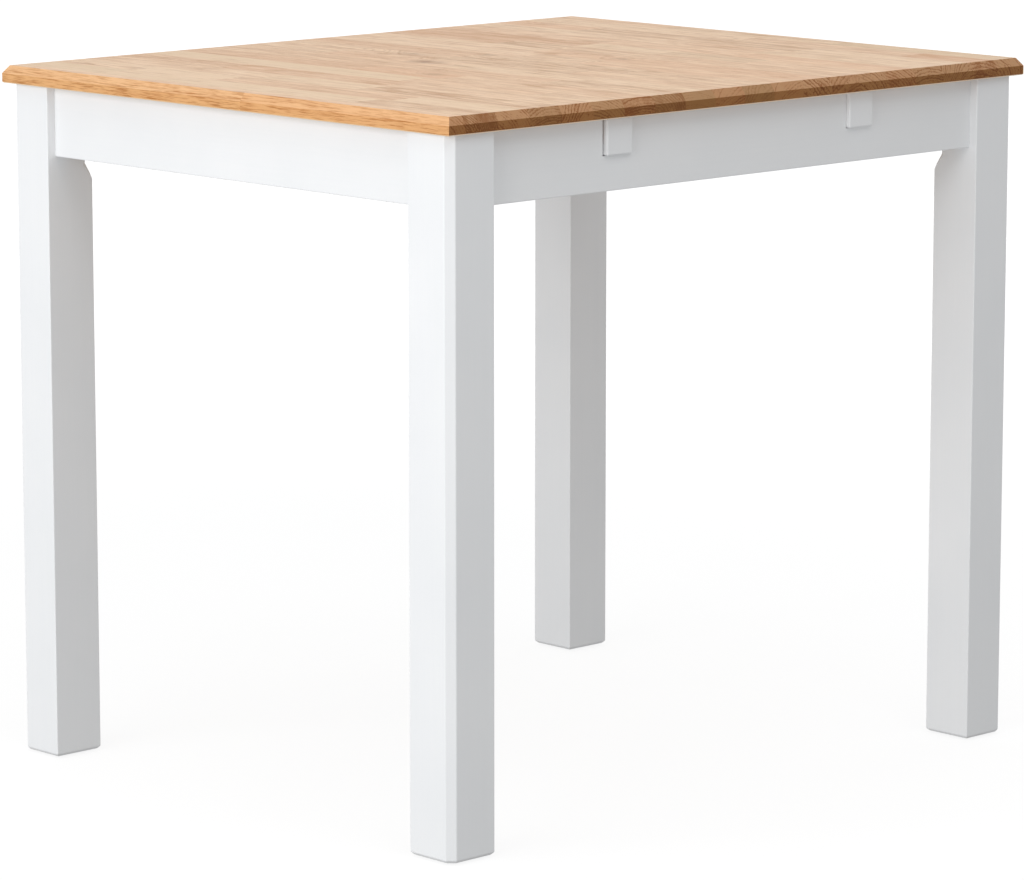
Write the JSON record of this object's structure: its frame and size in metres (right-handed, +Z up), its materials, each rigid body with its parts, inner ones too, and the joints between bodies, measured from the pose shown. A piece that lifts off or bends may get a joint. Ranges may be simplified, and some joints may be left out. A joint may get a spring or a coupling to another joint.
{
  "type": "extending dining table",
  "caption": "Rectangular dining table with a bevelled oak top on a white frame with square legs, and leaf bearers that slide out of the front apron.",
  "frame": {"origin": "on the floor, under the middle of the table", "axes": "+Z up; +X along the 850 mm side that has the bearers; the bearers come out towards -Y, the front"},
  "size_m": [0.85, 0.7, 0.75],
  "materials": {
    "oiled_oak": "edge-glued oak staves, oiled, matt",
    "white_lacquer": "white satin lacquer on solid wood",
    "raw_pine": "planed, untreated",
    "beech_dowel": "untreated",
    "zinc_plated_steel": "bright zinc plating",
    "glide_plastic": "moulded, matt"
  },
  "bodies": {
    "frame": {"tabletop": "oiled_oak", "leg_front_left": "white_lacquer", "leg_front_right": "white_lacquer", "leg_back_right": "white_lacquer", "leg_back_left": "white_lacquer", "apron_front": "white_lacquer", "apron_right": "white_lacquer", "apron_back": "white_lacquer", "apron_left": "white_lacquer", "corner_block_front_left": "raw_pine", "hanger_bolt_front_left": "zinc_plated_steel", "washer_front_left": "zinc_plated_steel", "nut_front_left": "zinc_plated_steel", "block_screw_front_left_a": "zinc_plated_steel", "block_screw_front_left_b": "zinc_plated_steel", "top_screw_front_left": "zinc_plated_steel", "foot_glide_front_left": "glide_plastic", "corner_block_front_right": "raw_pine", "hanger_bolt_front_right": "zinc_plated_steel", "washer_front_right": "zinc_plated_steel", "nut_front_right": "zinc_plated_steel", "block_screw_front_right_a": "zinc_plated_steel", "block_screw_front_right_b": "zinc_plated_steel", "top_screw_front_right": "zinc_plated_steel", "foot_glide_front_right": "glide_plastic", "corner_block_back_right": "raw_pine", "hanger_bolt_back_right": "zinc_plated_steel", "washer_back_right": "zinc_plated_steel", "nut_back_right": "zinc_plated_steel", "block_screw_back_right_a": "zinc_plated_steel", "block_screw_back_right_b": "zinc_plated_steel", "top_screw_back_right": "zinc_plated_steel", "foot_glide_back_right": "glide_plastic", "corner_block_back_left": "raw_pine", "hanger_bolt_back_left": "zinc_plated_steel", "washer_back_left": "zinc_plated_steel", "nut_back_left": "zinc_plated_steel", "block_screw_back_left_a": "zinc_plated_steel", "block_screw_back_left_b": "zinc_plated_steel", "top_screw_back_left": "zinc_plated_steel", "foot_glide_back_left": "glide_plastic", "guide_rail": "raw_pine", "rail_dowel_left": "beech_dowel", "rail_screw_left": "zinc_plated_steel", "rest_block_left": "raw_pine", "rail_dowel_right": "beech_dowel", "rail_screw_right": "zinc_plated_steel", "rest_block_right": "raw_pine", "bracket_front": "zinc_plated_steel", "bracket_apron_screw_front": "zinc_plated_steel", "bracket_top_screw_front": "zinc_plated_steel", "bracket_back": "zinc_plated_steel", "bracket_apron_screw_back": "zinc_plated_steel", "bracket_top_screw_back": "zinc_plated_steel"},
    "bearer_left": {"bearer_left": "white_lacquer", "stop_dowel_left": "beech_dowel"},
    "bearer_right": {"bearer_right": "white_lacquer", "stop_dowel_right": "beech_dowel"}
  },
  "joints": [
    {"name": "bearer_left_slide", "type": "slide", "parent": "frame", "child": "bearer_left", "axis": [0, -1, 0], "range_m": [0, 0.377]},
    {"name": "bearer_right_slide", "type": "slide", "parent": "frame", "child": "bearer_right", "axis": [0, -1, 0], "range_m": [0, 0.377]}
  ]
}
